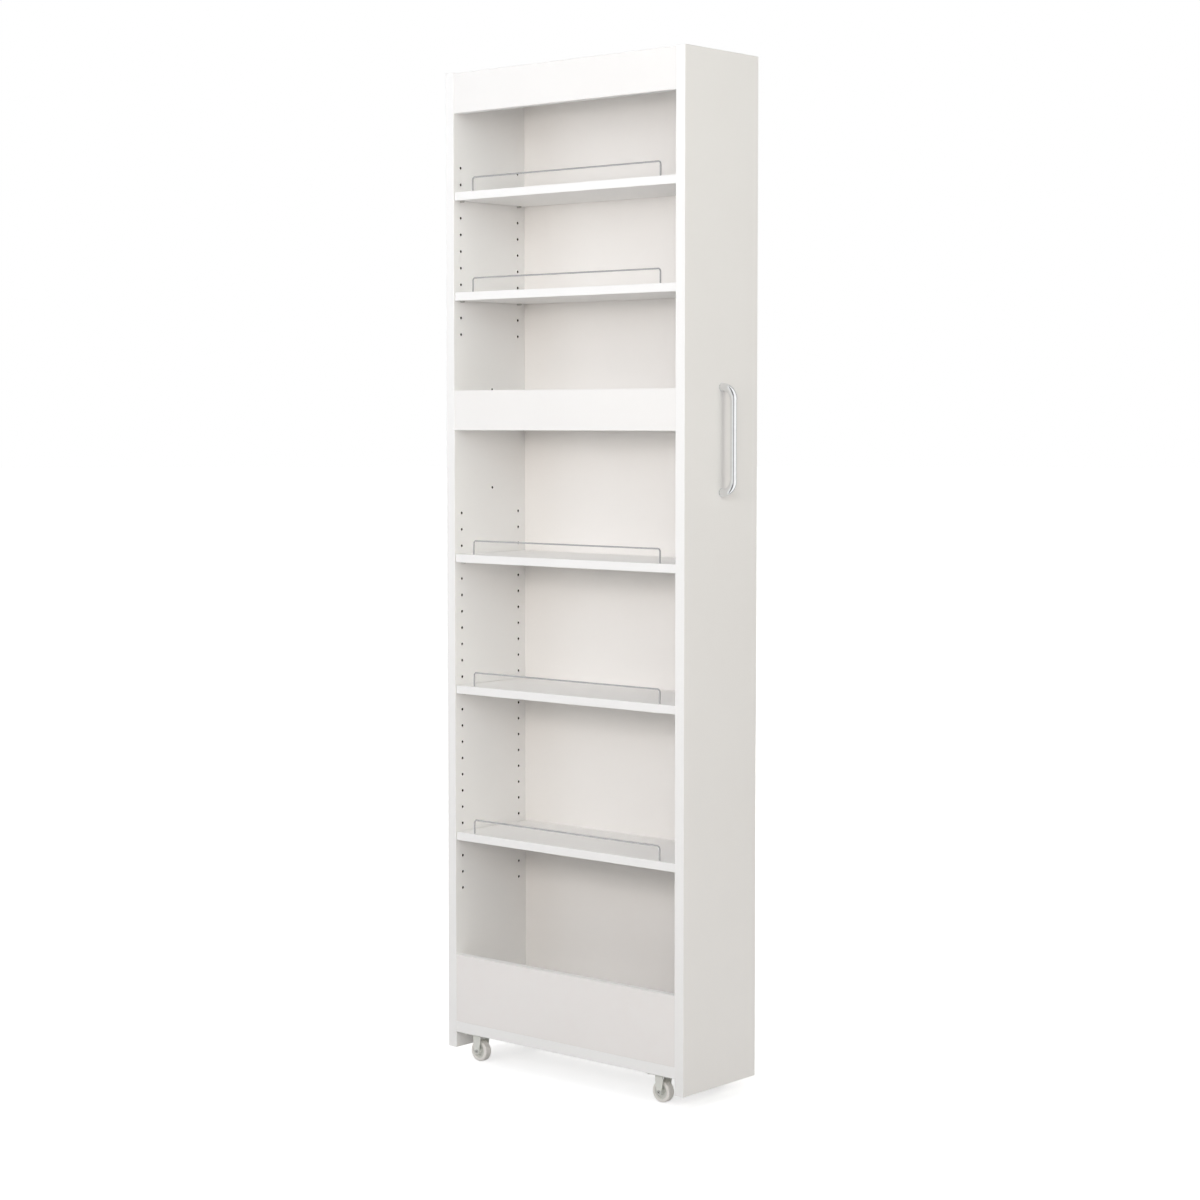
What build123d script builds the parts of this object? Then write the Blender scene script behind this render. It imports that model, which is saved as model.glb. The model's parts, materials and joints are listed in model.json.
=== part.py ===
from build123d import *
import os

# Rolling pantry cart: a 200 mm wide, 1800 mm tall slide-out cabinet on four fixed castors.
# X is the narrow width (the shelves are open towards -X, the back panels are on the +X side),
# Y is the depth (the chrome handle is on the -Y end), Z is up and the floor is Z = 0.
# The origin is the centre of the whole cart's footprint, handle included. Units: mm.

os.makedirs("parts", exist_ok=True)

# ------------------------------------------------------------------ driving dimensions
cab_w = 200.0            # outside width, X
cab_d = 558.0            # outside depth between the two end faces, Y
cab_top = 1800.0         # top of the end panels
panel_t = 20.0           # end panels, top, middle and bottom boards
panel_foot = 22.0        # lower edge of the end panels above the floor
handle_reach = 32.0      # how far the handle stands out of the end panel
edge_r = 0.8             # rounding of the banded edges

y_h = -(cab_d + handle_reach) / 2 + handle_reach   # outer face of the handle end panel
y_p = y_h + cab_d                                  # outer face of the plain end panel
y_hi = y_h + panel_t                               # inner faces of the two end panels
y_pi = y_p - panel_t
span = y_pi - y_hi
y_mid = (y_hi + y_pi) / 2
x_open = -cab_w / 2
x_rear = cab_w / 2

rail_t = 15.0            # upright boards across the open side
rail_x0 = x_open + 0.5   # they sit half a millimetre behind the end panels' edges
rail_x1 = rail_x0 + rail_t
rail_h = 72.0
board_x1 = x_rear - 0.5

top_z1 = cab_top - 1.2               # top board, a little below the end panels' tops
top_z0 = top_z1 - panel_t
header_z0 = top_z1 - rail_h
mid_z0 = 1157.0                      # fixed middle shelf, with its rail in front as a fence
mid_z1 = mid_z0 + panel_t
bot_z0 = 51.0                        # bottom board, on the castors
bot_z1 = bot_z0 + panel_t
fence_h = 124.0                      # tall board in front of the bottom bay

back_x0 = 88.7                       # thin back panels in grooves
back_t = 2.5
groove = 5.0

# peg holes, 30 mm apart
peg_pitch = 30.0
peg_r = 2.5
peg_depth = 12.0
peg_x = (-81.5, 70.0)
upper_peg_z = [1630.6 - peg_pitch * n for n in range(11)]
lower_peg_z = [1006.4 - peg_pitch * n for n in range(24)]
peg_z = upper_peg_z + lower_peg_z
peg_out = 8.0                        # how far a pin stands out of the panel

# movable shelves: the pins' centre height for each, from the top shelf down
shelf_pin_z = [1570.6, 1390.6, 916.4, 676.4, 406.4]
shelf_t = 15.0
shelf_over = 0.5                     # shelf underside above the pins' centre line
shelf_x0 = x_open + 2.0
shelf_x1 = back_x0 - 0.6
shelf_gap = 1.0                      # gap at each end
slot_r = 2.75                        # half-round notch that drops over a pin
slot_len = 8.6

# wire guards
wire_r = 1.5
wire_up = 25.0                       # wire centre above the shelf
wire_in = 40.0                       # leg centre from the end panels' inner faces
wire_x = shelf_x0 + 6.5
wire_bend = 5.0
wire_deep = 9.0

# handle, 180 mm between screw centres; the plain end has the same two holes
handle_z = (1051.5, 1231.5)
handle_axis = 26.0                   # bar axis out of the panel face
bar_r = 5.5
bar_bore = 4.0
foot_r = 7.5
elbow_r = 6.0
elbow_bend = 22.0
screw_hole_r = 2.25                  # behind the fitted handle
spare_hole_r = 2.5                   # open pair in the plain end

# castors: 38 mm wheel, 51 mm mounting height
wheel_r = 19.0
wheel_w = 14.5
tyre_in = 13.5
caster_x = 78.0
caster_y = 217.0
fork_w = 25.0
fork_t = 1.6
fork_leg = 17.0
fork_end_r = 4.8
plate_x, plate_y, plate_t = 36.0, 58.0, 1.6
screw_dx, screw_dy = 12.0, 21.5
axle_r = 2.5
bore_r = 2.55

# knock-down joints between boards and end panels
cam_r = 7.5
cam_set = 24.0                       # cam centre from the end of its board
bolt_r = 3.0
bolt_deep = 11.0
bolt_hole_r = 4.0
dowel_r = 4.0
dowel_in_panel = 10.0
dowel_in_board = 20.0

# (x, z) of the joint axes in each board's end
board_bolts = [(-40.0, top_z0 + 10), (36.0, top_z0 + 10),
               (-40.0, mid_z0 + 10), (36.0, mid_z0 + 10),
               (-40.0, bot_z0 + 10), (36.0, bot_z0 + 10)]
rail_mid_x = (rail_x0 + rail_x1) / 2
rail_bolts = [(rail_mid_x, 1752.0), (rail_mid_x, 1204.0), (rail_mid_x, 133.0)]
all_bolts = board_bolts + rail_bolts
all_dowels = [(-2.0, top_z0 + 10), (-2.0, mid_z0 + 10), (-2.0, bot_z0 + 10),
              (rail_mid_x, 1785.0), (rail_mid_x, 1171.0), (rail_mid_x, 93.0), (rail_mid_x, 173.0)]

# castor positions, one near each corner, and their screws
corners = [("open_handle", -caster_x, y_mid - caster_y), ("open_plain", -caster_x, y_mid + caster_y),
           ("back_handle", caster_x, y_mid - caster_y), ("back_plain", caster_x, y_mid + caster_y)]
caster_screw_xy = [(cx + dx, cy + dy) for _, cx, cy in corners
                   for dx in (-screw_dx, screw_dx) for dy in (-screw_dy, screw_dy)]


def at_y(y):
    """Plane square to Y at the given y; local x is X, local y is Z, the normal is -Y."""
    return Plane.XZ.offset(-y)


# ------------------------------------------------------------------ end panels
# Each is one board: a double row of blind peg holes, bolt and dowel holes, a groove for the
# back panels and the two through holes for the handle, so the handle fits at either end.
for name, y_in, out in (("handle_end_panel", y_hi, 1), ("plain_end_panel", y_pi, -1)):
    with BuildPart() as panel:
        with BuildSketch(at_y(y_in)):
            with Locations((0, (panel_foot + cab_top) / 2)):
                Rectangle(cab_w, cab_top - panel_foot)
        extrude(amount=out * panel_t)
        fillet(panel.edges(), edge_r)
        with BuildSketch(at_y(y_in)):
            with Locations(*[(x, z) for x in peg_x for z in peg_z]):
                Circle(peg_r)
        extrude(amount=out * peg_depth, mode=Mode.SUBTRACT)
        with BuildSketch(at_y(y_in)):
            with Locations(*all_bolts):
                Circle(bolt_r)
        extrude(amount=out * bolt_deep, mode=Mode.SUBTRACT)
        with BuildSketch(at_y(y_in)):
            with Locations(*all_dowels):
                Circle(dowel_r)
        extrude(amount=out * dowel_in_panel, mode=Mode.SUBTRACT)
        with BuildSketch(at_y(y_in)):
            with Locations((back_x0 + back_t / 2, (bot_z1 - groove + top_z0 + groove) / 2)):
                Rectangle(back_t, top_z0 - bot_z1 + 2 * groove)
        extrude(amount=out * groove, mode=Mode.SUBTRACT)
        with BuildSketch(at_y(y_in)):
            with Locations(*[(0, z) for z in handle_z]):
                Circle(screw_hole_r if name == "handle_end_panel" else spare_hole_r)
        extrude(amount=out * panel_t, mode=Mode.SUBTRACT)
    panel.part.label = name
    export_step(panel.part, "parts/" + panel.part.label + ".step")

# ------------------------------------------------------------------ fixed boards
# Horizontal boards: cams sit in 15 mm bores in the face given by `face`, 24 mm from each end.
for name, x0, z0, face, grooves in (("top_board", rail_x1, top_z0, 1, (-1,)),
                                    ("fixed_middle_shelf", rail_x1, mid_z0, -1, (-1, 1)),
                                    ("bottom_board", rail_x0, bot_z0, -1, (1,))):
    z1 = z0 + panel_t
    with BuildPart() as board:
        with BuildSketch(Plane.XY.offset(z0)):
            with Locations(((x0 + board_x1) / 2, y_mid)):
                Rectangle(board_x1 - x0, span)
        extrude(amount=panel_t)
        fillet(board.edges().filter_by(Axis.Y), edge_r)
        for g in grooves:                       # grooves that hold the back panels
            gz = z1 if g > 0 else z0
            with BuildSketch(Plane.XY.offset(gz)):
                with Locations((back_x0 + back_t / 2, y_mid)):
                    Rectangle(back_t, span)
            extrude(amount=-g * groove, mode=Mode.SUBTRACT)
        cam_xy = [(x, y) for x, z in board_bolts if abs(z - z0 - 10) < 1
                  for y in (y_hi + cam_set, y_pi - cam_set)]
        with BuildSketch(Plane.XY.offset(z1 if face > 0 else z0)):
            with Locations(*cam_xy):
                Circle(cam_r)
        extrude(amount=-face * 15.0, mode=Mode.SUBTRACT)
        ends = [(x, z) for x, z in board_bolts if abs(z - z0 - 10) < 1]
        for y, s in ((y_hi, 1), (y_pi, -1)):
            with BuildSketch(at_y(y)):
                with Locations(*ends):
                    Circle(bolt_hole_r)
            extrude(amount=-s * (cam_set - 2), mode=Mode.SUBTRACT)
            with BuildSketch(at_y(y)):
                with Locations((-2.0, z0 + 10)):
                    Circle(dowel_r)
            extrude(amount=-s * dowel_in_board, mode=Mode.SUBTRACT)
        if name == "bottom_board":              # pilot holes for the castor screws
            with BuildSketch(Plane.XY.offset(z0)):
                with Locations(*caster_screw_xy):
                    Circle(1.9)
            extrude(amount=14.0, mode=Mode.SUBTRACT)
    board.part.label = name
    export_step(board.part, "parts/" + board.part.label + ".step")

# Upright boards across the open side: header, middle rail and the tall board at the bottom.
for name, z0, h, cam_z, dowel_z in (("header_rail", header_z0, rail_h, 1752.0, (1785.0,)),
                                    ("middle_rail", mid_z0, rail_h, 1204.0, (1171.0,)),
                                    ("lower_front_board", bot_z1, fence_h, 133.0, (93.0, 173.0))):
    with BuildPart() as rail:
        with BuildSketch(Plane.XY.offset(z0)):
            with Locations((rail_mid_x, y_mid)):
                Rectangle(rail_t, span)
        extrude(amount=h)
        fillet(rail.edges().filter_by(Axis.Y), edge_r)
        with BuildSketch(Plane.YZ.offset(rail_x1)):
            with Locations((y_hi + cam_set, cam_z), (y_pi - cam_set, cam_z)):
                Circle(cam_r)
        extrude(amount=-12.0, mode=Mode.SUBTRACT)
        for y, s in ((y_hi, 1), (y_pi, -1)):
            with BuildSketch(at_y(y)):
                with Locations((rail_mid_x, cam_z)):
                    Circle(bolt_hole_r)
            extrude(amount=-s * (cam_set - 2), mode=Mode.SUBTRACT)
            with BuildSketch(at_y(y)):
                with Locations(*[(rail_mid_x, z) for z in dowel_z]):
                    Circle(dowel_r)
            extrude(amount=-s * dowel_in_board, mode=Mode.SUBTRACT)
    rail.part.label = name
    export_step(rail.part, "parts/" + rail.part.label + ".step")

# ------------------------------------------------------------------ thin back panels
for name, z0, z1 in (("upper_back_panel", mid_z1 - groove, top_z0 + groove),
                     ("lower_back_panel", bot_z1 - groove, mid_z0 + groove)):
    with BuildPart() as back:
        with BuildSketch(Plane.YZ.offset(back_x0)):
            with Locations((y_mid, (z0 + z1) / 2)):
                Rectangle(span + 2 * groove, z1 - z0)
        extrude(amount=back_t)
    back.part.label = name
    export_step(back.part, "parts/" + back.part.label + ".step")

# ------------------------------------------------------------------ movable shelves and guards
for i, zc in enumerate(shelf_pin_z, start=1):
    z0 = zc + shelf_over
    z1 = z0 + shelf_t
    ya, yb = y_hi + shelf_gap, y_pi - shelf_gap
    legs = [(wire_x, y_hi + wire_in), (wire_x, y_pi - wire_in)]
    with BuildPart() as shelf:
        with BuildSketch(Plane.XY.offset(z0)):
            with Locations(((shelf_x0 + shelf_x1) / 2, y_mid)):
                Rectangle(shelf_x1 - shelf_x0, yb - ya)
        extrude(amount=shelf_t)
        fillet(shelf.edges(), edge_r)
        for y, s in ((ya, 1), (yb, -1)):        # half-round notches over the four pins
            with BuildSketch(at_y(y)):
                with Locations(*[(x, zc) for x in peg_x]):
                    Circle(slot_r)
            extrude(amount=-s * slot_len, mode=Mode.SUBTRACT)
        with Locations(*[(x, y, z1) for x, y in legs]):
            Hole(wire_r, depth=wire_deep)
    shelf.part.label = "shelf_%d" % i
    export_step(shelf.part, "parts/" + shelf.part.label + ".step")

    with BuildPart() as guard:                  # bent wire pressed into two holes
        with BuildLine() as path:
            FilletPolyline((wire_x, legs[0][1], z1 - wire_deep),
                           (wire_x, legs[0][1], z1 + wire_up),
                           (wire_x, legs[1][1], z1 + wire_up),
                           (wire_x, legs[1][1], z1 - wire_deep), radius=wire_bend)
        with BuildSketch(Plane(origin=path.line @ 0, z_dir=path.line % 0)):
            Circle(wire_r)
        sweep(path=path.line)
    guard.part.label = "wire_guard_%d" % i
    export_step(guard.part, "parts/" + guard.part.label + ".step")

# ------------------------------------------------------------------ shelf pins, 20 alike
with BuildPart() as shelf_pins:
    for y, s in ((y_hi, 1), (y_pi, -1)):
        with BuildSketch(at_y(y + s * peg_out)):
            with Locations(*[(x, z) for x in peg_x for z in shelf_pin_z]):
                Circle(peg_r)
        extrude(amount=s * (peg_out + peg_depth))
    chamfer(shelf_pins.edges().filter_by(GeomType.CIRCLE), 0.5)
shelf_pins.part.label = "shelf_pins"
export_step(shelf_pins.part, "parts/shelf_pins.step")

# ------------------------------------------------------------------ cam bolts, cams, caps, dowels
with BuildPart() as cam_bolts:                  # thread in the panel, shank and head in the board
    for y, s in ((y_hi, 1), (y_pi, -1)):
        for r, y0, length in ((bolt_r, y - s * bolt_deep, bolt_deep), (2.4, y, cam_set - 3.5),
                              (3.4, y + s * (cam_set - 3.5), 5.0)):
            with BuildSketch(at_y(y0)):
                with Locations(*all_bolts):
                    Circle(r)
            extrude(amount=-s * length)
cam_bolts.part.label = "cam_bolts"
export_step(cam_bolts.part, "parts/cam_bolts.step")

with BuildPart() as cam_locks:                  # round cams with a channel for the bolt head
    for x, z in board_bolts:
        up = 1 if z > 1700 else -1
        for y, s in ((y_hi + cam_set, 1), (y_pi - cam_set, -1)):
            with BuildSketch(Plane.XY.offset(z + up * 9.6)):
                with Locations((x, y)):
                    Circle(cam_r)
                    SlotOverall(11.0, 2.0, rotation=35 * s, mode=Mode.SUBTRACT)
            extrude(amount=-up * 2.0)
            with BuildSketch(Plane.XY.offset(z + up * 7.6)):
                with Locations((x, y)):
                    Circle(cam_r)
            extrude(amount=-up * 12.4)
    for x, z in rail_bolts:
        for y, s in ((y_hi + cam_set, 1), (y_pi - cam_set, -1)):
            with BuildSketch(Plane.YZ.offset(rail_x1 - 0.4)):
                with Locations((y, z)):
                    Circle(cam_r)
                    SlotOverall(11.0, 2.0, rotation=35 * s, mode=Mode.SUBTRACT)
            extrude(amount=-1.6)
            with BuildSketch(Plane.YZ.offset(rail_x1 - 2.0)):
                with Locations((y, z)):
                    Circle(cam_r)
            extrude(amount=-9.8)
    for y, s in ((y_hi, 1), (y_pi, -1)):        # channel from the bolt side to past the centre
        with BuildSketch(at_y(y + s * (cam_set - 9.0))):
            with Locations(*all_bolts):
                Circle(3.6)
        extrude(amount=-s * 11.0, mode=Mode.SUBTRACT)
cam_locks.part.label = "cam_locks"
export_step(cam_locks.part, "parts/cam_locks.step")

with BuildPart() as cam_covers:                 # thin push-in caps over the cams
    for x, z in board_bolts:
        up = 1 if z > 1700 else -1
        with BuildSketch(Plane.XY.offset(z + up * 10)):
            with Locations((x, y_hi + cam_set), (x, y_pi - cam_set)):
                Circle(8.6)
        extrude(amount=up * 0.9)
    for x, z in rail_bolts:
        with BuildSketch(Plane.YZ.offset(rail_x1)):
            with Locations((y_hi + cam_set, z), (y_pi - cam_set, z)):
                Circle(8.6)
        extrude(amount=0.9)
    chamfer(cam_covers.edges().filter_by(GeomType.CIRCLE), 0.3)
cam_covers.part.label = "cam_covers"
export_step(cam_covers.part, "parts/cam_covers.step")

with BuildPart() as dowels:
    for y, s in ((y_hi, 1), (y_pi, -1)):
        with BuildSketch(at_y(y - s * dowel_in_panel)):
            with Locations(*all_dowels):
                Circle(dowel_r)
        extrude(amount=-s * (dowel_in_panel + dowel_in_board))
    chamfer(dowels.edges().filter_by(GeomType.CIRCLE), 0.8)
dowels.part.label = "dowels"
export_step(dowels.part, "parts/dowels.step")

# ------------------------------------------------------------------ handle
# A chrome tube between two cast elbows; each elbow tapers from a round foot and has a spigot
# that goes into the tube.
bar_z0 = handle_z[0] + elbow_bend
bar_z1 = handle_z[1] - elbow_bend
y_bar = y_h - handle_axis
with BuildPart() as handle_bar:
    with BuildSketch(Plane.XY.offset(bar_z0)):
        with Locations((0, y_bar)):
            Circle(bar_r)
            Circle(bar_bore, mode=Mode.SUBTRACT)
    extrude(amount=bar_z1 - bar_z0)
handle_bar.part.label = "handle_bar"
export_step(handle_bar.part, "parts/handle_bar.step")

for name, z, s in (("handle_elbow_lower", handle_z[0], 1), ("handle_elbow_upper", handle_z[1], -1)):
    with BuildPart() as elbow:
        with BuildLine() as run:
            l1 = Line((0, y_h - 1.5, z), (0, y_bar + elbow_bend, z))
            l2 = TangentArc(l1 @ 1, (0, y_bar, z + s * elbow_bend), tangent=l1 % 1)
        with BuildSketch(Plane(origin=run.line @ 0, z_dir=run.line % 0)):
            Circle(foot_r - 0.3)
        with BuildSketch(Plane(origin=run.line @ 1, z_dir=run.line % 1)):
            Circle(elbow_r)
        sweep(path=run.line, multisection=True)
        with BuildSketch(at_y(y_h)):            # round foot against the panel
            with Locations((0, z)):
                Circle(foot_r)
        extrude(amount=1.5)
        with BuildSketch(Plane.XY.offset(z + s * elbow_bend)):
            with Locations((0, y_bar)):
                Circle(bar_bore)
        extrude(amount=s * 8.0)
        with BuildSketch(at_y(y_h)):            # tapped hole for the handle screw
            with Locations((0, z)):
                Circle(2.0)
        extrude(amount=10.0, mode=Mode.SUBTRACT)
    elbow.part.label = name
    export_step(elbow.part, "parts/" + elbow.part.label + ".step")

with BuildPart() as handle_screws:              # from inside, through the end panel
    with BuildSketch(at_y(y_hi)):
        with Locations(*[(0, z) for z in handle_z]):
            Circle(2.0)
    extrude(amount=panel_t + 9.0)
    with BuildSketch(at_y(y_hi)):
        with Locations(*[(0, z) for z in handle_z]):
            Circle(4.5)
    extrude(amount=-2.4)
    fillet(handle_screws.faces().filter_by(Axis.Y).sort_by(Axis.Y)[-2:].edges(), 1.2)
    with BuildSketch(at_y(y_hi + 2.4)):         # cross recess
        with Locations(*[(0, z) for z in handle_z]):
            Rectangle(3.4, 0.9)
            Rectangle(0.9, 3.4)
    extrude(amount=1.4, mode=Mode.SUBTRACT)
handle_screws.part.label = "handle_screws"
export_step(handle_screws.part, "parts/handle_screws.step")

# ------------------------------------------------------------------ castors
plate_z0 = bot_z0 - plate_t
leg_in = fork_w / 2 - fork_t

for tag, cx, cy in corners:
    with BuildPart() as bracket:                # pressed plate with two legs
        with BuildSketch(Plane.XY.offset(plate_z0)):
            with Locations((cx, cy)):
                RectangleRounded(plate_x, plate_y, 5.0)
                with GridLocations(2 * screw_dx, 2 * screw_dy, 2, 2):
                    Circle(2.3, mode=Mode.SUBTRACT)
        extrude(amount=plate_t)
        with BuildSketch(Plane.XZ.offset(-(cy + fork_leg / 2))):    # bent channel under the plate
            with Locations((cx, plate_z0 - 3.0)):
                Rectangle(fork_w, 6.0)
        extrude(amount=fork_leg)
        with BuildSketch(Plane.YZ.offset(cx - fork_w / 2)):
            with BuildLine():
                Polyline((cy - fork_leg / 2, plate_z0 - 2.0), (cy - fork_leg / 2, 37.0),
                         (cy - fork_end_r, wheel_r), (cy + fork_end_r, wheel_r),
                         (cy + fork_leg / 2, 37.0), (cy + fork_leg / 2, plate_z0 - 2.0), close=True)
            make_face()
            with Locations((cy, wheel_r)):
                Circle(fork_end_r)
        extrude(amount=fork_w)
        with BuildSketch(Plane.XZ.offset(-(cy + plate_y / 2))):     # wheel space, rounded at the top
            with BuildLine():
                Polyline((cx - leg_in, 5.0), (cx - leg_in, plate_z0 - 4.0), (cx - leg_in + 3.0, plate_z0 - 1.6),
                         (cx + leg_in - 3.0, plate_z0 - 1.6), (cx + leg_in, plate_z0 - 4.0),
                         (cx + leg_in, 5.0), close=True)
            make_face()
        extrude(amount=plate_y, mode=Mode.SUBTRACT)
        with BuildSketch(Plane.YZ.offset(cx - fork_w / 2)):
            with Locations((cy, wheel_r)):
                Circle(axle_r)
        extrude(amount=fork_w, mode=Mode.SUBTRACT)
    bracket.part.label = "bracket_" + tag
    export_step(bracket.part, "parts/" + bracket.part.label + ".step")

    with BuildPart() as axle:                   # tubular rivet with a head at each end
        with BuildSketch(Plane.YZ.offset(cx - fork_w / 2)):
            with Locations((cy, wheel_r)):
                Circle(axle_r)
        extrude(amount=fork_w)
        for x, s in ((cx - fork_w / 2, -1), (cx + fork_w / 2, 1)):
            with BuildSketch(Plane.YZ.offset(x)):
                with Locations((cy, wheel_r)):
                    Circle(3.7)
            extrude(amount=s * 1.1)
        chamfer(axle.edges().group_by(Axis.X)[0] + axle.edges().group_by(Axis.X)[-1], 0.5)
        for x, s in ((cx - fork_w / 2 - 1.1, 1), (cx + fork_w / 2 + 1.1, -1)):
            with BuildSketch(Plane.YZ.offset(x)):
                with Locations((cy, wheel_r)):
                    Circle(1.5)
            extrude(amount=s * 4.0, mode=Mode.SUBTRACT)
    axle.part.label = "axle_" + tag
    export_step(axle.part, "parts/" + axle.part.label + ".step")

    with BuildPart() as hub:                    # wheel body: bearing boss, web and rim, one turned profile
        with BuildSketch(Plane.XZ.offset(-cy)):
            with BuildLine():
                Polyline((cx - leg_in + 0.3, wheel_r + bore_r), (cx - leg_in + 0.3, wheel_r + 5.2),
                         (cx - 3.2, wheel_r + 6.0), (cx - 2.6, wheel_r + 11.2),
                         (cx - 5.8, wheel_r + 12.0), (cx - 5.8, wheel_r + tyre_in),
                         (cx + 5.8, wheel_r + tyre_in), (cx + 5.8, wheel_r + 12.0),
                         (cx + 2.6, wheel_r + 11.2), (cx + 3.2, wheel_r + 6.0),
                         (cx + leg_in - 0.3, wheel_r + 5.2), (cx + leg_in - 0.3, wheel_r + bore_r), close=True)
            make_face()
        revolve(axis=Axis((cx, cy, wheel_r), (1, 0, 0)))
    hub.part.label = "hub_" + tag
    export_step(hub.part, "parts/" + hub.part.label + ".step")

    with BuildPart() as tyre:                   # soft tyre bonded round the rim
        with BuildSketch(Plane.XZ.offset(-cy)):
            with Locations((cx, wheel_r + (tyre_in + wheel_r) / 2)):
                Rectangle(wheel_w, wheel_r - tyre_in)
        revolve(axis=Axis((cx, cy, wheel_r), (1, 0, 0)))
        fillet(tyre.edges().filter_by(GeomType.CIRCLE).sort_by(SortBy.RADIUS)[-2:], 2.2)
    tyre.part.label = "tyre_" + tag
    export_step(tyre.part, "parts/" + tyre.part.label + ".step")

with BuildPart() as caster_screws:              # sixteen pan-head wood screws, heads downwards
    with BuildSketch(Plane.XY.offset(plate_z0)):
        with Locations(*caster_screw_xy):
            Circle(3.6)
    extrude(amount=-2.2)
    chamfer(caster_screws.edges().group_by(Axis.Z)[0], 0.8)
    with BuildSketch(Plane.XY.offset(plate_z0 - 2.2)):
        with Locations(*caster_screw_xy):
            Rectangle(3.4, 0.8)
            Rectangle(0.8, 3.4)
    extrude(amount=1.3, mode=Mode.SUBTRACT)
    with BuildSketch(Plane.XY.offset(plate_z0)):
        with Locations(*caster_screw_xy):
            Circle(1.9)
    extrude(amount=plate_t + 14.0)
caster_screws.part.label = "caster_screws"
export_step(caster_screws.part, "parts/caster_screws.step")
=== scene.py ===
import math
import json

import bpy
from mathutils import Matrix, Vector


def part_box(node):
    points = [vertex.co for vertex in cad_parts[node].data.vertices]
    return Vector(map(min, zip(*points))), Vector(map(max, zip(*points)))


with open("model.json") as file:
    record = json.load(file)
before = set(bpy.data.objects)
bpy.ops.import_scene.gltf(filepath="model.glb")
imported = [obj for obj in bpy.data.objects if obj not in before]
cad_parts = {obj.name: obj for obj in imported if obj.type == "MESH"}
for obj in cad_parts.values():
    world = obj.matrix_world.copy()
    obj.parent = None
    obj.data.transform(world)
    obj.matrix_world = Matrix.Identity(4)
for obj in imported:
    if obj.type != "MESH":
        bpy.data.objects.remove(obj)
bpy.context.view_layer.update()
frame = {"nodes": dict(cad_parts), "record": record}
NODES = frame["nodes"]
scene = bpy.context.scene
MM = 0.001


# ---------------------------------------------------------------- node helpers
def new_mat(name):
    m = bpy.data.materials.new(name)
    m.use_nodes = True
    return m, m.node_tree, m.node_tree.nodes["Principled BSDF"]


def node(nt, kind, **sets):
    n = nt.nodes.new(kind)
    for k, v in sets.items():
        setattr(n, k, v)
    return n


def put(nt, socket, value):
    """Links an output socket, or sets a plain number or colour on the input socket."""
    if isinstance(value, bpy.types.NodeSocket):
        nt.links.new(value, socket)
    elif isinstance(value, (int, float)):
        socket.default_value = value
    else:
        socket.default_value = (*value, 1) if len(value) == 3 and socket.type == "RGBA" else value


def obj_pos(nt):
    return node(nt, "ShaderNodeTexCoord").outputs["Object"]


def scaled(nt, vec, scale, rot=(0, 0, 0)):
    n = node(nt, "ShaderNodeMapping")
    n.inputs["Scale"].default_value = scale
    n.inputs["Rotation"].default_value = rot
    nt.links.new(vec, n.inputs["Vector"])
    return n.outputs["Vector"]


def noise(nt, vec, scale, detail=3.0, rough=0.5, distort=0.0):
    n = node(nt, "ShaderNodeTexNoise")
    n.inputs["Scale"].default_value = scale
    n.inputs["Detail"].default_value = detail
    n.inputs["Roughness"].default_value = rough
    n.inputs["Distortion"].default_value = distort
    nt.links.new(vec, n.inputs["Vector"])
    return n.outputs["Fac"]


def ramp(nt, fac, stops, mode="LINEAR"):
    r = node(nt, "ShaderNodeValToRGB")
    cr = r.color_ramp
    cr.interpolation = mode
    el = cr.elements
    el[0].position, el[0].color = stops[0][0], (*stops[0][1], 1)
    el[1].position, el[1].color = stops[-1][0], (*stops[-1][1], 1)
    for p, c in stops[1:-1]:
        e = el.new(p)
        e.color = (*c, 1)
    nt.links.new(fac, r.inputs["Fac"])
    return r.outputs["Color"]


def remap(nt, fac, a, b, lo, hi, smooth=False):
    m = node(nt, "ShaderNodeMapRange")
    if smooth:
        m.interpolation_type = "SMOOTHSTEP"
    for k, v in (("From Min", a), ("From Max", b), ("To Min", lo), ("To Max", hi)):
        m.inputs[k].default_value = v
    nt.links.new(fac, m.inputs["Value"])
    return m.outputs["Result"]


def calc(nt, op, a, b=0.0, c=None, clamp=False):
    m = node(nt, "ShaderNodeMath", operation=op)
    m.use_clamp = clamp
    put(nt, m.inputs[0], a)
    put(nt, m.inputs[1], b)
    if c is not None:
        put(nt, m.inputs[2], c)
    return m.outputs[0]


def mix(nt, fac, a, b, blend="MIX"):
    m = node(nt, "ShaderNodeMix", data_type="RGBA")
    m.blend_type = blend
    put(nt, m.inputs[0], fac)
    put(nt, m.inputs[6], a)
    put(nt, m.inputs[7], b)
    return m.outputs[2]


def bump(nt, height, strength, distance, normal=None):
    b = node(nt, "ShaderNodeBump")
    b.inputs["Strength"].default_value = strength
    b.inputs["Distance"].default_value = distance
    nt.links.new(height, b.inputs["Height"])
    if normal is not None:
        nt.links.new(normal, b.inputs["Normal"])
    return b.outputs["Normal"]


def split(nt, vec):
    s = node(nt, "ShaderNodeSeparateXYZ")
    nt.links.new(vec, s.inputs[0])
    return s.outputs[0], s.outputs[1], s.outputs[2]


# ---------------------------------------------------------------- materials
FACE = ((0.905, 0.897, 0.884), (0.888, 0.878, 0.863))
# painted shade: a darker, warmer copy of the face tone for the lower front board, which sits low where less light
# reaches
FACE_LOW_SHADED = ((0.893, 0.868, 0.853), (0.878, 0.851, 0.834))
BAND = ((0.930, 0.930, 0.925), (0.915, 0.914, 0.908))
# raw particle-board chips, darkened to near black as painted shade for the inside of holes, bores and grooves
CORE_AND_HOLE_SHADE = ((0.085, 0.060, 0.040), (0.040, 0.028, 0.018))


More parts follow.
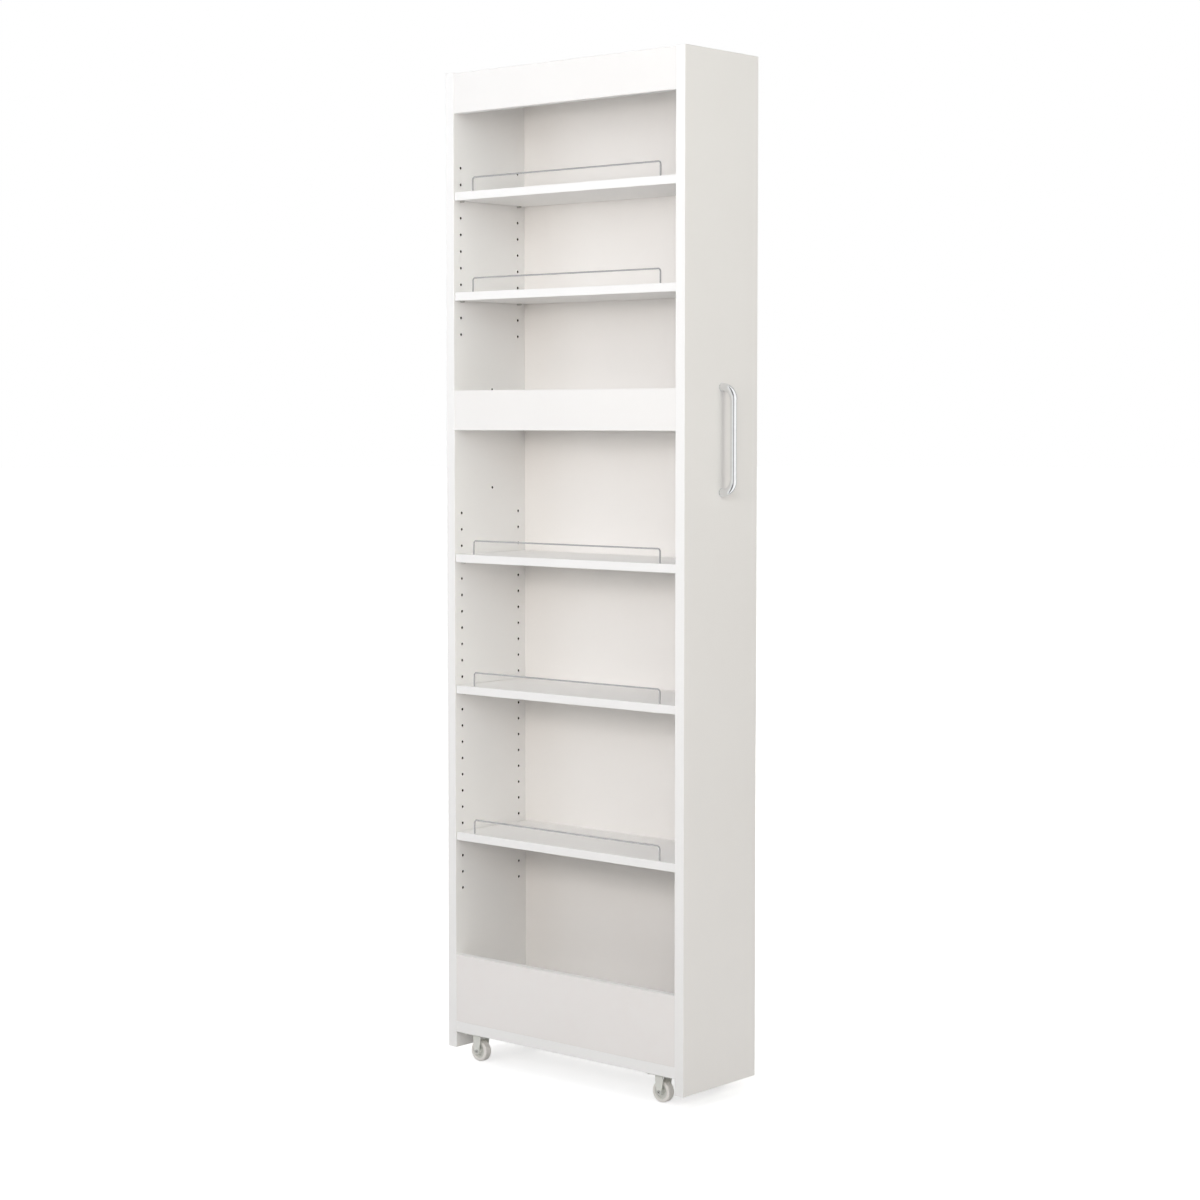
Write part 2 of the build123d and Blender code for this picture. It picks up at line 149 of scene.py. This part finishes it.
def board(name, face=FACE, band=BAND, seed=0.0):
    """White melamine on particle board: laminated faces, edge band with a hairline joint 1 mm in from the edge, a grey
    line of painted shade along each face's outer arris, and raw chips, darkened to near black as painted shade,
    wherever a hole, bore or groove cuts into the board."""
    lo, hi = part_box(name)
    size = [h - l for l, h in zip(lo, hi)]
    t = size.index(min(size))
    m, nt, p = new_mat("melamine_" + name)
    pos = obj_pos(nt)
    xyz = split(nt, pos)
    nrm = split(nt, node(nt, "ShaderNodeTexCoord").outputs["Normal"])
    dist = []
    for i in range(3):
        dist.append(calc(nt, "MINIMUM", calc(nt, "SUBTRACT", xyz[i], lo[i]), calc(nt, "SUBTRACT", hi[i], xyz[i])))
    side = [i for i in range(3) if i != t]
    lateral = calc(nt, "MINIMUM", dist[side[0]], dist[side[1]])
    deep = calc(nt, "MINIMUM", lateral, dist[t])
    # mask of the cut faces: raw core, whose chip colour also carries painted shade
    core_and_shade = remap(nt, deep, 0.40 * MM, 0.60 * MM, 0, 1)
    on_face = remap(nt, calc(nt, "ABSOLUTE", nrm[t]), 0.55, 0.85, 0, 1)
    seam = calc(nt, "MULTIPLY", remap(nt, calc(nt, "ABSOLUTE", calc(nt, "SUBTRACT", lateral, 1.05 * MM)), 0.03 * MM, 0.11 * MM, 1, 0), on_face)

    shifted = scaled(nt, pos, (1, 1, 1))
    nt.nodes[-1].inputs["Location"].default_value = (seed, seed * 1.7, seed * 0.6)
    tone = noise(nt, shifted, 3.0, 3.0, 0.6)
    mottled = noise(nt, shifted, 38.0, 4.0, 0.6)
    peel = noise(nt, shifted, 900.0, 2.0, 0.5)
    fine = noise(nt, shifted, 2600.0, 1.0, 0.5)
    fc = mix(nt, remap(nt, tone, 0.35, 0.65, 0, 1), face[0], face[1])
    fc = mix(nt, remap(nt, mottled, 0.3, 0.7, 0, 0.35), fc, (0.893, 0.890, 0.875))
    bc = mix(nt, remap(nt, tone, 0.35, 0.65, 0, 1), band[0], band[1])
    col = mix(nt, on_face, bc, fc)
    col = mix(nt, calc(nt, "MULTIPLY", seam, 0.38), col, (0.42, 0.39, 0.35))
    # painted shade: a fine grey line along the outermost arris of each face, standing in for the shadow in the joint
    # where two boards meet
    arris_shade = calc(nt, "MULTIPLY", remap(nt, lateral, 0.1 * MM, 0.6 * MM, 1, 0), remap(nt, mottled, 0.35, 0.65, 0.7, 1))
    arris_shade = calc(nt, "MULTIPLY", arris_shade, on_face)
    col = mix(nt, calc(nt, "MULTIPLY", arris_shade, 0.28), col, (0.55, 0.53, 0.50))
    chips = node(nt, "ShaderNodeTexVoronoi")
    chips.inputs["Scale"].default_value = 1300.0
    nt.links.new(pos, chips.inputs["Vector"])
    # painted shade: the chip colour inside holes and grooves is near black, darker than raw particle board
    cc = mix(nt, remap(nt, chips.outputs["Distance"], 0.1, 0.7, 0, 1), CORE_AND_HOLE_SHADE[0], CORE_AND_HOLE_SHADE[1])
    col = mix(nt, core_and_shade, col, cc)
    nt.links.new(col, p.inputs["Base Color"])
    rough = calc(nt, "ADD", remap(nt, peel, 0.3, 0.7, 0.36, 0.46), remap(nt, tone, 0.3, 0.7, -0.02, 0.03))
    rough = calc(nt, "ADD", rough, calc(nt, "MULTIPLY", core_and_shade, 0.5), clamp=True)
    nt.links.new(rough, p.inputs["Roughness"])
    h = calc(nt, "ADD", calc(nt, "MULTIPLY", peel, 0.7), calc(nt, "MULTIPLY", fine, 0.3))
    h = calc(nt, "SUBTRACT", h, calc(nt, "MULTIPLY", seam, 1.2))
    h = calc(nt, "ADD", h, calc(nt, "MULTIPLY", calc(nt, "MULTIPLY", chips.outputs["Distance"], core_and_shade), 12.0))
    nt.links.new(bump(nt, h, 0.35, 0.00003), p.inputs["Normal"])
    p.inputs["Specular IOR Level"].default_value = 0.5
    return m


def back_sheet(name, seed=0.0):
    """Printed hardboard: smooth painted front, the press screen's faint weave on the rear."""
    m, nt, p = new_mat("hardboard_" + name)
    pos = obj_pos(nt)
    nrm = split(nt, node(nt, "ShaderNodeTexCoord").outputs["Normal"])
    rear = remap(nt, nrm[0], 0.3, 0.8, 0, 1)
    tone = noise(nt, pos, 2.4, 3.0, 0.6)
    mott = noise(nt, pos, 26.0, 5.0, 0.65)
    fib = noise(nt, scaled(nt, pos, (900, 900, 260)), 1.0, 3.0, 0.6)
    col = mix(nt, remap(nt, tone, 0.35, 0.65, 0, 1), (0.905, 0.885, 0.862), (0.890, 0.868, 0.843))
    col = mix(nt, remap(nt, mott, 0.3, 0.7, 0, 0.4), col, (0.90, 0.885, 0.862))
    rc = mix(nt, remap(nt, mott, 0.25, 0.75, 0, 1), (0.792, 0.776, 0.746), (0.776, 0.758, 0.726))
    col = mix(nt, rear, col, rc)
    nt.links.new(col, p.inputs["Base Color"])
    w1 = node(nt, "ShaderNodeTexWave", bands_direction="Y")
    w2 = node(nt, "ShaderNodeTexWave", bands_direction="Z")
    for w in (w1, w2):
        w.inputs["Scale"].default_value = 260.0
        w.inputs["Distortion"].default_value = 0.6
        nt.links.new(pos, w.inputs["Vector"])
    weave = calc(nt, "MULTIPLY", calc(nt, "MULTIPLY", w1.outputs["Fac"], w2.outputs["Fac"]), rear)
    h = calc(nt, "ADD", calc(nt, "MULTIPLY", fib, 0.4), calc(nt, "MULTIPLY", weave, 3.0))
    nt.links.new(bump(nt, h, 0.4, 0.00004), p.inputs["Normal"])
    nt.links.new(calc(nt, "ADD", remap(nt, fib, 0.3, 0.7, 0.48, 0.58), calc(nt, "MULTIPLY", rear, 0.15)), p.inputs["Roughness"])
    p.inputs["Specular IOR Level"].default_value = 0.4
    return m


def chrome(name, rough=0.06, tint=(0.80, 0.805, 0.815)):
    m, nt, p = new_mat(name)
    pos = obj_pos(nt)
    n = noise(nt, pos, 90.0, 3.0, 0.6)
    micro = noise(nt, scaled(nt, pos, (1, 1, 0.12)), 2600.0, 2.0)
    nt.links.new(mix(nt, remap(nt, n, 0.3, 0.7, 0, 1), tint, tuple(min(1, c * 1.05) for c in tint)), p.inputs["Base Color"])
    nt.links.new(calc(nt, "ADD", remap(nt, n, 0.3, 0.7, rough * 0.7, rough * 1.3), remap(nt, micro, 0.4, 0.7, 0.0, rough * 0.5)), p.inputs["Roughness"])
    nt.links.new(bump(nt, micro, 0.05, 0.00001), p.inputs["Normal"])
    p.inputs["Metallic"].default_value = 1.0
    return m


def metal(name, a, b, rough=(0.3, 0.42), scale=260.0):
    m, nt, p = new_mat(name)
    pos = obj_pos(nt)
    n = noise(nt, pos, scale, 4.0, 0.6)
    sp = noise(nt, pos, 1700.0, 2.0)
    nt.links.new(mix(nt, remap(nt, n, 0.3, 0.7, 0, 1), a, b), p.inputs["Base Color"])
    nt.links.new(calc(nt, "ADD", remap(nt, n, 0.3, 0.7, *rough), remap(nt, sp, 0.4, 0.7, 0, 0.08)), p.inputs["Roughness"])
    nt.links.new(bump(nt, sp, 0.2, 0.00002), p.inputs["Normal"])
    p.inputs["Metallic"].default_value = 1.0
    return m


def plastic(name, a, b, rough=(0.38, 0.5), grain=1400.0, spec=0.5):
    m, nt, p = new_mat(name)
    pos = obj_pos(nt)
    n = noise(nt, pos, 70.0, 4.0, 0.6)
    g = noise(nt, pos, grain, 2.0)
    nt.links.new(mix(nt, remap(nt, n, 0.3, 0.7, 0, 1), a, b), p.inputs["Base Color"])
    nt.links.new(calc(nt, "ADD", remap(nt, n, 0.3, 0.7, *rough), remap(nt, g, 0.4, 0.7, 0, 0.06)), p.inputs["Roughness"])
    nt.links.new(bump(nt, g, 0.25, 0.00002), p.inputs["Normal"])
    p.inputs["Specular IOR Level"].default_value = spec
    return m


def wood(name):
    m, nt, p = new_mat(name)
    pos = obj_pos(nt)
    g = noise(nt, scaled(nt, pos, (900, 60, 900)), 1.0, 4.0, 0.6)
    nt.links.new(ramp(nt, g, [(0.3, (0.62, 0.42, 0.24)), (0.7, (0.50, 0.31, 0.16))]), p.inputs["Base Color"])
    nt.links.new(remap(nt, g, 0.3, 0.7, 0.6, 0.75), p.inputs["Roughness"])
    nt.links.new(bump(nt, g, 0.4, 0.00005), p.inputs["Normal"])
    return m


slot_of = {s["node"]: s["material_slot"] for s in frame["record"]["subparts"]}
SHARED = {
    "chrome_wire": chrome("chrome_wire", 0.12, (0.52, 0.52, 0.53)),
    "chrome_handle": chrome("chrome_plate", 0.05, (0.80, 0.805, 0.815)),
    "steel_pin": metal("nickel_pin", (0.55, 0.55, 0.53), (0.62, 0.61, 0.59), (0.22, 0.34)),
    "zinc_steel": metal("zinc_steel", (0.50, 0.50, 0.48), (0.60, 0.60, 0.57)),
    "white_plastic": plastic("cap_plastic", (0.82, 0.82, 0.80), (0.85, 0.85, 0.83)),
    "beech": wood("beech_dowel"),
    "fork_paint": plastic("fork_coat", (0.74, 0.755, 0.71), (0.775, 0.785, 0.745), (0.30, 0.38), 900.0, 0.6),
    "hub_plastic": plastic("hub_plastic", (0.70, 0.71, 0.67), (0.735, 0.74, 0.705)),
    "tyre_soft": plastic("tyre_soft", (0.84, 0.82, 0.785), (0.87, 0.85, 0.815), (0.5, 0.62), 1100.0, 0.35),
}
for i, (n, o) in enumerate(sorted(NODES.items())):
    o.data.materials.clear()
    if slot_of[n] == "white_board":
        # the lower front board gets the painted-shade copy of the face tone
        tone = FACE_LOW_SHADED if n == "lower_front_board" else FACE
        o.data.materials.append(board(n, tone, seed=0.37 * i))
    elif slot_of[n] == "back_board":
        o.data.materials.append(back_sheet(n, seed=0.53 * i))
    else:
        o.data.materials.append(SHARED[slot_of[n]])

# ---------------------------------------------------------------- floor, light, camera
CAM = (-3.42314, -2.96037, 1.17341)


def studio_floor():
    bpy.ops.mesh.primitive_circle_add(vertices=96, radius=60, fill_type="NGON", location=(0, 0, 0))
    floor = bpy.context.object
    floor.name = "floor"
    m, nt, p = new_mat("floor_pale")
    pos = obj_pos(nt)
    n = noise(nt, pos, 30.0, 3.0)
    nt.links.new(mix(nt, remap(nt, n, 0.3, 0.7, 0, 1), (0.62, 0.62, 0.62), (0.64, 0.64, 0.64)), p.inputs["Base Color"])
    p.inputs["Roughness"].default_value = 0.95
    p.inputs["Specular IOR Level"].default_value = 0.0
    ln = node(nt, "ShaderNodeVectorMath", operation="LENGTH")
    nt.links.new(pos, ln.inputs[0])
    lift = remap(nt, ln.outputs["Value"], 0.5, 6.0, 0.62, 1.05, smooth=True)
    lp = node(nt, "ShaderNodeLightPath")
    p.inputs["Emission Color"].default_value = (1, 1, 1, 1)
    nt.links.new(calc(nt, "MULTIPLY", lift, lp.outputs["Is Camera Ray"]), p.inputs["Emission Strength"])
    floor.data.materials.append(m)
    floor.visible_glossy = False
    return floor


floor = studio_floor()


def studio_world(level, strength):
    """White to the camera and a low even ambient on matt surfaces. Glossy surfaces see a bright
    studio wall with one darker gap in it, which puts the soft streak down the chrome."""
    w = bpy.data.worlds.new("studio")
    scene.world = w
    w.use_nodes = True
    nt = w.node_tree
    out = nt.nodes["World Output"]
    seen = nt.nodes["Background"]
    seen.inputs["Color"].default_value = (1, 1, 1, 1)
    seen.inputs["Strength"].default_value = 1.0
    amb = node(nt, "ShaderNodeBackground")
    amb.name = "ambient"
    amb.inputs["Color"].default_value = (*level, 1)
    amb.inputs["Strength"].default_value = strength
    wall = node(nt, "ShaderNodeBackground")
    d = node(nt, "ShaderNodeTexCoord").outputs["Generated"]
    back = Vector((CAM[0], CAM[1], 0)).normalized()
    right = Vector((-back.y, back.x, 0))

    def along(v):
        n = node(nt, "ShaderNodeVectorMath", operation="DOT_PRODUCT")
        n.inputs[1].default_value = v
        nt.links.new(d, n.inputs[0])
        return n.outputs["Value"]

    turn = calc(nt, "ARCTAN2", along(right), along(back))
    turn = calc(nt, "MULTIPLY", turn, 1 / (2 * math.pi))
    turn = calc(nt, "ADD", turn, 0.5)
    grey = lambda v: (v, v, v)
    deg = lambda x: 0.5 + x / 360.0
    wallc = ramp(nt, turn, [(0.0, grey(0.80)), (deg(-95), grey(0.86)), (deg(-40), grey(0.98)), (deg(-24), grey(0.90)), (deg(-12), grey(0.38)),
                            (deg(10), grey(0.38)), (deg(20), grey(1.15)), (deg(95), grey(1.15)), (deg(118), grey(0.50)), (1.0, grey(0.55))])
    up = split(nt, d)[2]
    high = remap(nt, calc(nt, "ABSOLUTE", up), 0.20, 0.45, 0, 1, smooth=True)
    gap = remap(nt, calc(nt, "ABSOLUTE", calc(nt, "SUBTRACT", turn, deg(-2))), 0.03, 0.09, 1, 0, smooth=True)
    wallc = mix(nt, calc(nt, "MULTIPLY", high, gap), wallc, grey(0.16))
    nt.links.new(wallc, wall.inputs["Color"])
    wall.inputs["Strength"].default_value = 1.0
    lp = node(nt, "ShaderNodeLightPath")
    m1 = node(nt, "ShaderNodeMixShader")
    nt.links.new(lp.outputs["Is Glossy Ray"], m1.inputs[0])
    nt.links.new(amb.outputs[0], m1.inputs[1])
    nt.links.new(wall.outputs[0], m1.inputs[2])
    m2 = node(nt, "ShaderNodeMixShader")
    nt.links.new(lp.outputs["Is Camera Ray"], m2.inputs[0])
    nt.links.new(m1.outputs[0], m2.inputs[1])
    nt.links.new(seen.outputs[0], m2.inputs[2])
    nt.links.new(m2.outputs[0], out.inputs["Surface"])
    return amb


ambient = studio_world((1.0, 0.91, 0.905), 0.106)


def area(name, loc, target, size, power, color=(1, 1, 1)):
    d = bpy.data.lights.new(name, "AREA")
    d.shape = "RECTANGLE"
    d.size, d.size_y = size
    d.energy = power
    d.color = color
    o = bpy.data.objects.new(name, d)
    scene.collection.objects.link(o)
    o.location = loc
    o.rotation_euler = (Vector(target) - Vector(loc)).to_track_quat("-Z", "Y").to_euler()
    o.visible_glossy = False
    return o


LIGHTS = {
    "cam_mid": area("cam_mid", (-4.8, -3.2, 2.0), (0, 0, 1.0), (2.6, 1.6), 49.6, (1.0, 0.953, 0.890)),
    "front_high": area("front_high", (-0.4, -4.8, 4.0), (0, 0, 1.2), (2.6, 2.6), 12.3, (1.0, 1.0, 0.90)),
    "front_low": area("front_low", (0.4, -5.4, 1.35), (0, 0, 0.9), (5.0, 2.5), 51.5, (1.0, 0.905, 0.888)),
    "left_sky": area("left_sky", (-2.4, -0.2, 3.4), (0, 0, 1.2), (2.4, 1.6), 4.8, (0.90, 0.90, 1.0)),
    "near_a": area("near_a", (-2.8, -1.0, 2.0), (0, 0, 1.7), (1.6, 1.0), 5.5, (0.90, 0.90, 1.0)),
    "near_b": area("near_b", (-2.5, -2.5, 2.5), (0, 0, 1.6), (1.6, 1.0), 19.0, (0.926, 1.0, 0.994)),
    "near_c": area("near_c", (-2.4, 0.9, 2.1), (0, 0, 1.7), (1.6, 1.0), 2.8, (0.90, 0.90, 1.0)),
    "near_d": area("near_d", (-2.6, -0.3, 1.45), (0, 0, 1.7), (1.6, 0.6), 17.3, (1.0, 0.946, 0.905)),
    "near_f": area("near_f", (-2.6, 1.6, 1.5), (0, 0, 1.6), (1.4, 1.0), 13.0, (0.899, 0.951, 1.0)),
    "top_down": area("top_down", (-1.3, 0.1, 2.9), (0, 0, 1.0), (1.2, 1.2), 7.7, (0.90, 0.945, 1.0)),
    "near_front": area("near_front", (-0.6, -3.2, 2.6), (0, 0, 1.5), (1.4, 1.2), 22.7, (0.965, 1.0, 0.906)),
    "behind_right": area("behind_right", (4.6, 1.2, 2.6), (0, 0, 0.9), (2.6, 2.6), 120, (1.0, 0.985, 0.965)),
    "far_end": area("far_end", (0.6, 5.0, 2.4), (0, 0, 0.9), (2.4, 2.4), 110, (1.0, 0.98, 0.955)),
}

cam_d = bpy.data.cameras.new("photo_camera")
cam = bpy.data.objects.new("photo_camera", cam_d)
scene.collection.objects.link(cam)
scene.camera = cam
cam_d.sensor_fit = "HORIZONTAL"
cam_d.sensor_width = 36.0
cam_d.lens = 76.372
cam_d.shift_x = 0.0
cam_d.shift_y = -0.02
cam_d.clip_start = 0.05
cam_d.clip_end = 300.0
cam.location = CAM
cam.rotation_euler = (math.radians(90 - 3.479), 0, 0.71499 - math.pi / 2)
scene.view_settings.view_transform = "Standard"
